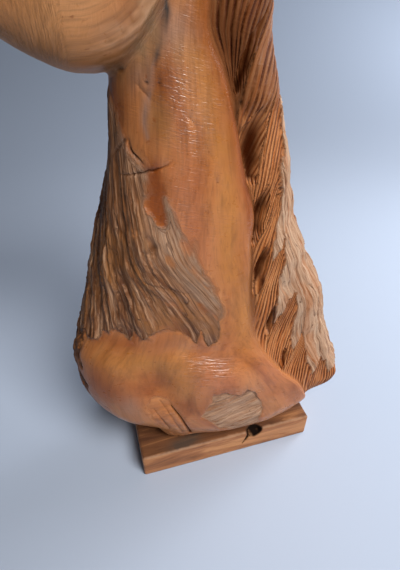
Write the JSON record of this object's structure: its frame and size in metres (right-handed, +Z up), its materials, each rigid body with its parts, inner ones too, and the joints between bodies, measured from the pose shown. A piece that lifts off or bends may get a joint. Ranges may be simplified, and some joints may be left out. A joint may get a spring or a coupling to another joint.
{
  "type": "horse head sculpture",
  "caption": "Carved root-wood horse head with long neck, carved mane and raw weathered throat, standing on a rectangular wooden plinth.",
  "frame": {"origin": "centre of the plinth's underside", "axes": "+X along the plinth's long side towards the back of the neck, so the horse faces -X; -Y is the near side with the broad weathered patch; +Z up"},
  "size_m": [0.5576, 0.1742, 0.7771],
  "materials": {
    "carved_root_wood": "orange-brown root wood, sanded to a satin sheen, with raw grey-brown weathered wood on the throat and along the crest",
    "plinth_wood": "brown sawn hardwood board, lightly oiled"
  },
  "bodies": {
    "root": {"horse_head": "carved_root_wood", "plinth": "plinth_wood"}
  },
  "joints": []
}
